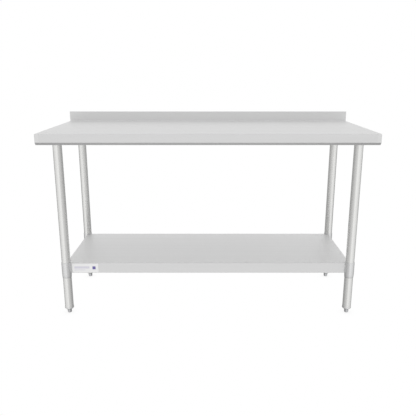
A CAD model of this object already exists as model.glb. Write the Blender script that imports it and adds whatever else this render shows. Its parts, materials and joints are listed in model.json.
import json
import math

import bmesh
import bpy
from mathutils import Matrix, Vector


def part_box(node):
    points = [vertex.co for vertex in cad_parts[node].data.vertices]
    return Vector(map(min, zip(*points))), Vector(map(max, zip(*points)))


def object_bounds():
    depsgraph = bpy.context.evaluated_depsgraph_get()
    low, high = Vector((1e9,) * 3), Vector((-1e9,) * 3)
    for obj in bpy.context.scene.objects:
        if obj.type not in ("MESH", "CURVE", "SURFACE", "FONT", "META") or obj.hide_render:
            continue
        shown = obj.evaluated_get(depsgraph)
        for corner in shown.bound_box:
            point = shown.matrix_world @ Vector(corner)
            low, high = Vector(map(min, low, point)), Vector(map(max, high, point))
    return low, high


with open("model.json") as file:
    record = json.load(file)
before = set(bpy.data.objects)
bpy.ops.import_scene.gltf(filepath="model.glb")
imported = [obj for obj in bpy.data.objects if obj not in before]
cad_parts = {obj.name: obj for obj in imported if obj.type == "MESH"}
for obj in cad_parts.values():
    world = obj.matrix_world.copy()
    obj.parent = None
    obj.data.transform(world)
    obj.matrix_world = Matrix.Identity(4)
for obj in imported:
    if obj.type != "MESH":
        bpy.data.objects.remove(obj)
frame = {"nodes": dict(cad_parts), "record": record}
nodes = frame["nodes"]
cad_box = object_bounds()
scene = bpy.context.scene

CORNERS = ("front_left", "front_right", "rear_left", "rear_right")


# ------------------------------------------------------------------ node helpers
class Tree:
    """Small wrapper that makes and links shader nodes."""

    def __init__(self, mat):
        mat.use_nodes = True
        self.t = mat.node_tree
        self.t.nodes.clear()
        self.out = self.n("ShaderNodeOutputMaterial")

    def n(self, kind, **props):
        node = self.t.nodes.new(kind)
        for k, v in props.items():
            setattr(node, k, v)
        return node

    def put(self, socket, value):
        if isinstance(value, bpy.types.NodeSocket):
            self.t.links.new(value, socket)
        elif value is not None:
            socket.default_value = value

    def math(self, op, a, b=None, c=None, clamp=False):
        node = self.n("ShaderNodeMath", operation=op, use_clamp=clamp)
        self.put(node.inputs[0], a)
        if b is not None:
            self.put(node.inputs[1], b)
        if c is not None:
            self.put(node.inputs[2], c)
        return node.outputs[0]

    def vec(self, op, a, b=None):
        node = self.n("ShaderNodeVectorMath", operation=op)
        self.put(node.inputs[0], a)
        if b is not None:
            self.put(node.inputs[1], b)
        return node.outputs[0]

    def coords(self):
        return self.n("ShaderNodeTexCoord").outputs["Object"]

    def split(self, v):
        return self.n("ShaderNodeSeparateXYZ"), v

    def xyz(self, v):
        node = self.n("ShaderNodeSeparateXYZ")
        self.put(node.inputs[0], v)
        return node.outputs[0], node.outputs[1], node.outputs[2]

    def join(self, x, y, z):
        node = self.n("ShaderNodeCombineXYZ")
        for s, v in zip(node.inputs, (x, y, z)):
            self.put(s, v)
        return node.outputs[0]

    def noise(self, v, scale, detail=3.0, rough=0.55, stretch=None):
        if stretch:
            v = self.vec("MULTIPLY", v, stretch)
        node = self.n("ShaderNodeTexNoise")
        self.put(node.inputs["Vector"], v)
        node.inputs["Scale"].default_value = scale
        node.inputs["Detail"].default_value = detail
        node.inputs["Roughness"].default_value = rough
        return node.outputs["Fac"]

    def ramp(self, fac, low, high, to_low=0.0, to_high=1.0, smooth=True):
        node = self.n("ShaderNodeMapRange", interpolation_type="SMOOTHSTEP" if smooth else "LINEAR")
        for i, v in enumerate((fac, low, high, to_low, to_high)):
            self.put(node.inputs[i], v)
        return node.outputs[0]

    def mix(self, fac, a, b):
        node = self.n("ShaderNodeMix", data_type="RGBA")
        self.put(node.inputs[0], fac)
        self.put(node.inputs[6], a)
        self.put(node.inputs[7], b)
        return node.outputs[2]

    def mix_value(self, fac, a, b):
        node = self.n("ShaderNodeMix", data_type="FLOAT")
        self.put(node.inputs[0], fac)
        self.put(node.inputs[2], a)
        self.put(node.inputs[3], b)
        return node.outputs[0]

    def tint(self, colour, gain):
        """colour times a scalar"""
        node = self.n("ShaderNodeVectorMath", operation="SCALE")
        self.put(node.inputs[0], colour)
        self.put(node.inputs["Scale"], gain)
        return node.outputs[0]

    def bump(self, height, strength, distance=0.001, normal=None):
        node = self.n("ShaderNodeBump")
        node.inputs["Strength"].default_value = strength
        node.inputs["Distance"].default_value = distance
        self.put(node.inputs["Height"], height)
        if normal is not None:
            self.put(node.inputs["Normal"], normal)
        return node.outputs[0]

    def shade(self, **sockets):
        node = self.n("ShaderNodeBsdfPrincipled")
        for k, v in sockets.items():
            self.put(node.inputs[k.replace("_", " ")], v)
        self.t.links.new(node.outputs[0], self.out.inputs[0])
        return node


def material(name, colour):
    mat = bpy.data.materials.new(name)
    mat.diffuse_color = (*colour, 1)
    return mat, Tree(mat)


def grey(v):
    return (v, v, v, 1)


# ------------------------------------------------------------------ materials
def brushed_sheet(name, colour, rough=0.34, seed=0.0, strip=None):
    """Satin sheet. Long fine scratches run along X on the flats and down the folded ends, with slow tone changes.
    strip = (x where the dressed corner starts, y of the front face): there the grain runs up and down."""
    mat, t = material(name, colour)
    obj = t.coords()
    p = t.vec("ADD", obj, (seed, seed * 0.7, seed * 0.3))
    x, y, z = t.xyz(p)
    nx, ny, nz = t.xyz(t.n("ShaderNodeNewGeometry").outputs["True Normal"])
    end = t.ramp(t.math("ABSOLUTE", nx), 0.55, 0.75)
    dressed = None
    if strip is not None:
        ox, oy, oz = t.xyz(obj)
        # where the corner was welded and dressed: the last stretch of the front face, with an irregular edge
        wander = t.math("MULTIPLY", t.math("SUBTRACT", t.noise(p, 1.0, 2.0, 0.5, (30.0, 1.0, 260.0)), 0.5), 0.0016)
        reach = t.math("ADD", t.math("ABSOLUTE", ox), wander)
        dressed = t.math("MULTIPLY", t.ramp(reach, strip[0] - 0.0008, strip[0] + 0.0008),
                         t.ramp(oy, strip[1] + 0.0016, strip[1] + 0.0006))
        end = t.math("MAXIMUM", end, dressed)
    flat = t.math("SUBTRACT", 1.0, end)
    # along: distance down the grain; across: distance over it
    along = t.math("ADD", t.math("MULTIPLY", x, flat), t.math("MULTIPLY", z, end))
    over = t.math("ADD", y, t.math("MULTIPLY", z, flat))
    across = t.math("ADD", over, t.math("MULTIPLY", x, end))
    g = t.join(along, across, t.math("MULTIPLY", end, 3.7))
    fine = t.noise(g, 1.0, 2.0, 0.6, (9.0, 2600.0, 1.0))
    mid = t.noise(g, 1.0, 3.0, 0.6, (2.2, 620.0, 1.0))
    band = t.noise(g, 1.0, 2.0, 0.5, (0.5, 38.0, 1.0))
    cloud = t.noise(p, 3.1, 3.0, 0.5)
    # a few single scratches that wander off the grain
    cross = t.noise(t.join(t.math("ADD", along, t.math("MULTIPLY", across, 0.35)), across, 1.3), 1.0, 1.0, 0.4,
                    (5.0, 900.0, 1.0))
    scratch = t.ramp(cross, 0.735, 0.775)
    tone = t.math("ADD", t.math("MULTIPLY", t.math("SUBTRACT", mid, 0.5), 0.05),
                  t.math("MULTIPLY", t.math("SUBTRACT", band, 0.5), 0.06))
    tone = t.math("ADD", tone, t.math("MULTIPLY", t.math("SUBTRACT", cloud, 0.5), 0.03))
    tone = t.math("ADD", tone, t.math("MULTIPLY", scratch, 0.05))
    if dressed is not None:
        tone = t.math("ADD", tone, t.math("MULTIPLY", dressed, 0.055))
    base = t.tint((*colour,), t.math("ADD", 1.0, tone))
    r = t.math("ADD", rough, t.math("MULTIPLY", t.math("SUBTRACT", mid, 0.5), 0.16))
    r = t.math("ADD", r, t.math("MULTIPLY", t.math("SUBTRACT", cloud, 0.5), 0.06))
    r = t.math("SUBTRACT", r, t.math("MULTIPLY", scratch, 0.08), clamp=True)
    height = t.math("ADD", t.math("MULTIPLY", fine, 0.5), t.math("MULTIPLY", mid, 0.5))
    height = t.math("SUBTRACT", height, t.math("MULTIPLY", scratch, 0.6))
    n = t.bump(height, 0.12, 0.00006)
    t.shade(Base_Color=base, Metallic=0.55, Roughness=r, Normal=n)
    return mat


def tube_steel(name, colour, rough=0.3, turned=True):
    """Polished tube: very fine rings left by the belt, slow waviness, a faint lengthways seam."""
    mat, t = material(name, colour)
    p = t.coords()
    x, y, z = t.xyz(p)
    ring = t.noise(p, 1.0, 2.0, 0.6, (60.0, 60.0, 2400.0))
    mid = t.noise(p, 1.0, 3.0, 0.55, (22.0, 22.0, 260.0))
    cloud = t.noise(p, 7.0, 3.0, 0.5)
    tone = t.math("ADD", t.math("MULTIPLY", t.math("SUBTRACT", mid, 0.5), 0.06),
                  t.math("MULTIPLY", t.math("SUBTRACT", cloud, 0.5), 0.04))
    base = t.tint((*colour,), t.math("ADD", 1.0, tone))
    r = t.math("ADD", rough, t.math("MULTIPLY", t.math("SUBTRACT", mid, 0.5), 0.12))
    r = t.math("ADD", r, t.math("MULTIPLY", t.math("SUBTRACT", cloud, 0.5), 0.08), clamp=True)
    n = t.bump(t.math("ADD", t.math("MULTIPLY", ring, 0.6), t.math("MULTIPLY", mid, 0.4)), 0.06, 0.00001)
    t.shade(Base_Color=base, Metallic=1.0, Roughness=r, Normal=n)
    return mat


def galvanised(name, colour):
    """Zinc spangle: crystal cells, each with its own brightness and gloss, and dull edges."""
    mat, t = material(name, colour)
    p = t.coords()
    warp = t.noise(p, 60.0, 2.0)
    cells = t.n("ShaderNodeTexVoronoi", feature="F1")
    t.put(cells.inputs["Vector"], t.vec("ADD", p, t.vec("MULTIPLY", t.join(warp, warp, warp), (0.006, 0.006, 0.006))))
    cells.inputs["Scale"].default_value = 95.0
    cr, cg, cb = t.xyz(cells.outputs["Color"])
    fern = t.noise(p, 1.0, 2.0, 0.6, (500.0, 900.0, 700.0))
    cloud = t.noise(p, 6.0, 3.0)
    tone = t.math("ADD", t.math("MULTIPLY", t.math("SUBTRACT", cr, 0.5), 0.30),
                  t.math("MULTIPLY", t.math("SUBTRACT", fern, 0.5), 0.14))
    tone = t.math("ADD", tone, t.math("MULTIPLY", t.math("SUBTRACT", cloud, 0.5), 0.12))
    base = t.tint((*colour,), t.math("ADD", 1.0, tone))
    r = t.math("ADD", 0.42, t.math("MULTIPLY", t.math("SUBTRACT", cg, 0.5), 0.22))
    n = t.bump(t.math("ADD", cb, t.math("MULTIPLY", fern, 0.3)), 0.15, 0.00008)
    t.shade(Base_Color=base, Metallic=0.9, Roughness=r, Normal=n)
    return mat


def cast_alloy(name, colour, grain=1500.0, rough=0.5, depth=0.00018, metallic=0.9, mottle=1.0, foot=None):
    """Tumbled casting: a fine pebbled skin, small pits and slow mottling. foot = height of a lower edge where
    polish and grime have gathered in the crevice."""
    mat, t = material(name, colour)
    p = t.coords()
    pebble = t.noise(p, grain, 3.0, 0.6)
    coarse = t.noise(p, grain * 0.22, 3.0, 0.55)
    cloud = t.noise(p, 28.0, 4.0, 0.6)
    pits = t.n("ShaderNodeTexVoronoi", feature="F1")
    t.put(pits.inputs["Vector"], p)
    pits.inputs["Scale"].default_value = grain * 0.45
    pit = t.ramp(pits.outputs["Distance"], 0.08, 0.22)
    tone = t.math("ADD", t.math("MULTIPLY", t.math("SUBTRACT", coarse, 0.5), 0.16),
                  t.math("MULTIPLY", t.math("SUBTRACT", cloud, 0.5), 0.12))
    tone = t.math("SUBTRACT", tone, t.math("MULTIPLY", t.math("SUBTRACT", 1.0, pit), 0.10))
    tone = t.math("ADD", 1.0, t.math("MULTIPLY", tone, mottle))
    if foot is not None:
        x, y, z = t.xyz(p)
        edge = t.math("ADD", z, t.math("MULTIPLY", t.math("SUBTRACT", cloud, 0.5), 0.0010))
        tone = t.math("MULTIPLY", tone, t.ramp(edge, foot + 0.0008, foot + 0.0042, 0.66, 1.0))
    base = t.tint((*colour,), tone)
    r = t.math("ADD", rough, t.math("MULTIPLY", t.math("SUBTRACT", coarse, 0.5), 0.2), clamp=True)
    h = t.math("ADD", t.math("MULTIPLY", pebble, 0.5), t.math("MULTIPLY", coarse, 0.8))
    h = t.math("ADD", h, t.math("MULTIPLY", pit, 0.3))
    t.shade(Base_Color=base, Metallic=metallic, Roughness=r, Normal=t.bump(h, 0.35, depth))
    return mat


def plated(name, colour, rough=0.26, tint=0.0):
    """Plated, turned steel: fine tool rings about the vertical, small blotches, duller in the recesses."""
    mat, t = material(name, colour)
    p = t.coords()
    rings = t.noise(p, 1.0, 2.0, 0.6, (150.0, 150.0, 3200.0))
    blot = t.noise(p, 130.0, 4.0, 0.6)
    big = t.noise(p, 30.0, 2.0, 0.5)
    tone = t.math("ADD", t.math("MULTIPLY", t.math("SUBTRACT", blot, 0.5), 0.14),
                  t.math("MULTIPLY", t.math("SUBTRACT", big, 0.5), 0.10))
    warm = (colour[0] * (1 + tint), colour[1], colour[2] * (1 - tint), 1)
    base = t.tint(t.mix(t.ramp(big, 0.4, 0.6), (*colour, 1), warm), t.math("ADD", 1.0, tone))
    r = t.math("ADD", rough, t.math("MULTIPLY", t.math("SUBTRACT", blot, 0.5), 0.24), clamp=True)
    h = t.math("ADD", t.math("MULTIPLY", rings, 0.5), t.math("MULTIPLY", blot, 0.5))
    t.shade(Base_Color=base, Metallic=1.0, Roughness=r, Normal=t.bump(h, 0.15, 0.00006))
    return mat


def blackened(name, colour):
    mat, t = material(name, colour)
    p = t.coords()
    mott = t.noise(p, 420.0, 4.0, 0.6)
    worn = t.ramp(t.noise(p, 160.0, 3.0), 0.58, 0.70)
    base = t.mix(t.math("MULTIPLY", worn, 0.35), (*colour, 1), grey(0.25))
    r = t.math("ADD", 0.36, t.math("MULTIPLY", t.math("SUBTRACT", mott, 0.5), 0.3))
    t.shade(Base_Color=base, Metallic=0.7, Roughness=r, Normal=t.bump(mott, 0.2, 0.00006))
    return mat


def nylon(name, colour):
    mat, t = material(name, colour)
    p = t.coords()
    grain = t.noise(p, 2600.0, 2.0, 0.6)
    scuff = t.noise(p, 240.0, 4.0, 0.65)
    low = t.ramp(t.xyz(p)[2], 0.0, 0.0022)
    worn = t.math("MULTIPLY", t.math("SUBTRACT", 1.0, low), t.ramp(scuff, 0.4, 0.65))
    base = t.mix(worn, (*colour, 1), grey(0.42))
    r = t.math("ADD", 0.5, t.math("MULTIPLY", t.math("SUBTRACT", scuff, 0.5), 0.3))
    t.shade(Base_Color=base, Metallic=0.0, Roughness=r, Specular_IOR_Level=0.4, Normal=t.bump(grain, 0.25, 0.00008))
    return mat


def label_vinyl(name, lo, hi):
    """White vinyl, blank but for generic bars and a plain square; positions are shares of the label's own box."""
    mat, t = material(name, (0.9, 0.91, 0.93))
    p = t.coords()
    x, y, z = t.xyz(p)
    u = t.ramp(x, lo.x, hi.x, smooth=False)
    v = t.ramp(z, lo.z, hi.z, smooth=False)
    aspect = (hi.x - lo.x) / (hi.z - lo.z)

    def block(u0, v0, u1, v1):
        edge = 0.004
        a = t.math("MULTIPLY", t.ramp(u, u0 - edge, u0 + edge), t.math("SUBTRACT", 1.0, t.ramp(u, u1 - edge, u1 + edge)))
        b = t.math("MULTIPLY", t.ramp(v, v0 - edge * aspect, v0 + edge * aspect),
                   t.math("SUBTRACT", 1.0, t.ramp(v, v1 - edge * aspect, v1 + edge * aspect)))
        return t.math("MULTIPLY", a, b)

    bars = None
    for u0, v0, u1, v1 in ((0.08, 0.44, 0.66, 0.70), (0.08, 0.25, 0.50, 0.32)):
        b = block(u0, v0, u1, v1)
        bars = b if bars is None else t.math("MAXIMUM", bars, b)
    square = block(0.775, 0.35, 0.895, 0.70)
    mott = t.noise(p, 90.0, 3.0, 0.6)
    white = t.tint((0.965, 0.965, 0.965), t.math("ADD", 0.985, t.math("MULTIPLY", mott, 0.03)))
    base = t.mix(t.math("MULTIPLY", bars, 0.34), white, (0.42, 0.38, 0.62, 1))
    base = t.mix(t.math("MULTIPLY", square, 0.92), base, (0.10, 0.075, 0.36, 1))
    orange_peel = t.noise(p, 700.0, 2.0, 0.5)
    r = t.math("ADD", 0.30, t.math("MULTIPLY", mott, 0.12))
    t.shade(Base_Color=base, Metallic=0.0, Roughness=r, Specular_IOR_Level=0.45,
            Normal=t.bump(t.math("ADD", orange_peel, t.math("MULTIPLY", bars, 0.4)), 0.10, 0.00006))
    return mat


SHEET = (0.745, 0.745, 0.745)
MATS = {
    "worktop_steel": brushed_sheet("worktop_steel_look", SHEET, 0.46, 0.0,
                                   (cad_box[1][0] - 0.019, cad_box[0][1])),
    "shelf_steel": brushed_sheet("shelf_steel_look", (0.768, 0.768, 0.768), 0.46, 5.3),
    "leg_steel": tube_steel("leg_steel_look", (0.775, 0.775, 0.762), 0.27),
    "galvanised_channel": galvanised("galvanised_look", (0.60, 0.62, 0.63)),
    "cast_alloy": cast_alloy("cast_alloy_look", (0.55, 0.56, 0.57), 900.0, 0.5, 0.00022),
    "collar_alloy": cast_alloy("collar_alloy_look", (0.712, 0.714, 0.714), 1500.0, 0.27, 0.00003, 1.0, 0.4,
                               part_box("shelf_collar_front_left")[0][2]),
    "foot_metal": plated("foot_metal_look", (0.50, 0.505, 0.515), 0.24),
    "zinc_fastener": plated("zinc_fastener_look", (0.66, 0.68, 0.70), 0.24, 0.06),
    "black_screw": blackened("black_screw_look", (0.03, 0.03, 0.032)),
    "glide_plastic": nylon("glide_plastic_look", (0.40, 0.40, 0.41)),
    "label_vinyl": label_vinyl("label_vinyl_look", *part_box("maker_label")),
}
slots = {s["node"]: s["material_slot"] for s in frame["record"]["subparts"]}
# the inserts share the stems' metal, but are turned and polished like the tube they close
insert_look = plated("foot_insert_look", (0.74, 0.74, 0.735), 0.27)
for name, obj in nodes.items():
    obj.data.materials.clear()
    obj.data.materials.append(insert_look if name.startswith("foot_insert_") else MATS[slots[name]])

# ------------------------------------------------------------------ floor, world, lights, camera
def link_group(name, members):
    coll = bpy.data.collections.new(name)
    for o in members:
        coll.objects.link(o)
    return coll


round_names = ("leg_front", "leg_rear", "shelf_collar", "foot_")
rounds = [o for n, o in nodes.items() if n.startswith(round_names)]
left_rounds = link_group("left_round", [o for o in rounds if o.name.endswith("_left")])
right_rounds = link_group("right_round", [o for o in rounds if o.name.endswith("_right")])
sheets = link_group("sheets", [o for o in nodes.values() if o not in rounds])

ENV = {"low_front": 0.80, "low_back": 0.41, "under": 0.52, "high_front": 0.85, "high_back": 0.78,
       "zenith": 0.89, "edge": (-0.14, 0.06)}
floor_mesh = bpy.data.meshes.new("floor")
bm = bmesh.new()
bmesh.ops.create_grid(bm, x_segments=1, y_segments=1, size=14.0)
bm.to_mesh(floor_mesh)
bm.free()
floor = bpy.data.objects.new("floor", floor_mesh)
floor.location = (0, 0, -0.0004)
scene.collection.objects.link(floor)

mat, t = material("floor_pale", (1, 1, 1))
ao = t.n("ShaderNodeAmbientOcclusion")
ao.inputs["Distance"].default_value = 0.05
seen = t.n("ShaderNodeEmission")
t.put(seen.inputs["Strength"], t.ramp(ao.outputs["AO"], 0.0, 0.9, 0.86, 1.0, smooth=False))
# seen from below, the floor lets the eye through to the underside of the table
clear = t.n("ShaderNodeBsdfTransparent")
sides = t.n("ShaderNodeMixShader")
t.put(sides.inputs[0], t.n("ShaderNodeNewGeometry").outputs["Backfacing"])
t.t.links.new(seen.outputs[0], sides.inputs[1])
t.t.links.new(clear.outputs[0], sides.inputs[2])
t.t.links.new(sides.outputs[0], t.out.inputs[0])
floor.visible_glossy = False
floor.visible_diffuse = False
floor.visible_shadow = False
floor.visible_transmission = False
floor_mesh.materials.append(mat)

world = bpy.data.worlds.new("studio")
scene.world = world
world.use_nodes = True
wt = Tree.__new__(Tree)
wt.t = world.node_tree
wt.t.nodes.clear()
wt.out = wt.n("ShaderNodeOutputWorld")
wx, wy, wz = wt.xyz(wt.n("ShaderNodeTexCoord").outputs["Generated"])
flat_len = wt.math("SQRT", wt.math("ADD", wt.math("MULTIPLY", wx, wx), wt.math("MULTIPLY", wy, wy)))
toward = wt.math("DIVIDE", wt.math("MULTIPLY", wy, -1.0), wt.math("MAXIMUM", flat_len, 0.001))
# below the horizon: a pale cyclorama, bright in front of the table and falling off behind it
front = wt.math("MULTIPLY_ADD", toward, 0.73, 0.27, clamp=True)
low = wt.math("MULTIPLY_ADD", front, ENV["low_front"] - ENV["low_back"], ENV["low_back"])
low = wt.math("MULTIPLY", low, wt.ramp(wz, -0.85, -0.45, ENV["under"], 1.0))
# above the horizon: an even overhead wash
high_side = wt.ramp(toward, -1.0, 1.0, ENV["high_back"], ENV["high_front"], smooth=False)
high = wt.mix_value(wt.ramp(wz, 0.35, 0.95), high_side, ENV["zenith"])
level = wt.mix_value(wt.ramp(wz, ENV["edge"][0], ENV["edge"][1]), low, high)
dim = wt.n("ShaderNodeBackground")
dim.inputs["Color"].default_value = (1, 1, 1, 1)
wt.put(dim.inputs["Strength"], level)
white = wt.n("ShaderNodeBackground")
white.inputs["Color"].default_value = (1, 1, 1, 1)
white.inputs["Strength"].default_value = 1.0
wmix = wt.n("ShaderNodeMixShader")
wt.put(wmix.inputs[0], wt.n("ShaderNodeLightPath").outputs["Is Camera Ray"])
wt.t.links.new(dim.outputs[0], wmix.inputs[1])
wt.t.links.new(white.outputs[0], wmix.inputs[2])
wt.t.links.new(wmix.outputs[0], wt.out.inputs[0])


def softbox(name, location, target, width, height, radiance, receivers=None, tone=(1, 1, 1)):
    light = bpy.data.lights.new(name, "AREA")
    light.shape = "RECTANGLE"
    light.size, light.size_y = width, height
    light.energy = radiance * math.pi * width * height
    light.color = tone
    obj = bpy.data.objects.new(name, light)
    obj.location = location
    obj.rotation_euler = (Vector(target) - Vector(location)).to_track_quat("-Z", "Y").to_euler()
    obj.visible_camera = False
    scene.collection.objects.link(obj)
    if receivers is not None:
        obj.light_linking.receiver_collection = receivers
    return obj


softbox("front_fill", (0, -3.0, -0.1), (0, 0, -0.1), 6.0, 3.0, 0.205, sheets)
# the wash from behind reaches over the upstand, so it casts no shadow of it on the worktop
softbox("back_wash", (0, 2.6, 1.55), (0, 0, 1.1), 7.0, 1.5, 0.25, sheets).data.use_shadow = False
for side, group in ((-1, left_rounds), (1, right_rounds)):
    tag = "left" if side < 0 else "right"
    softbox(tag + "_front_fill", (1.25 * side, -2.1, -0.1), (1.25 * side, 0, -0.1), 2.1, 2.6, 0.26, group)
    softbox(tag + "_side_fill", (2.3 * side, -0.85, -0.1), (0, -0.85, -0.1), 2.5, 2.6, 0.24, group)


cam_data = bpy.data.cameras.new("camera")
cam_data.sensor_width = 36.0
cam_data.lens = 43.76
cam_data.shift_y = -0.0034
cam = bpy.data.objects.new("camera", cam_data)
cam.location = (0, -2.52805, 1.1540)
cam.rotation_euler = (math.radians(90 - 14.98), 0, 0)
scene.collection.objects.link(cam)
scene.camera = cam

scene.view_settings.view_transform = "Standard"
scene.view_settings.look = "None"
scene.view_settings.exposure = 0.0
scene.view_settings.gamma = 1.0
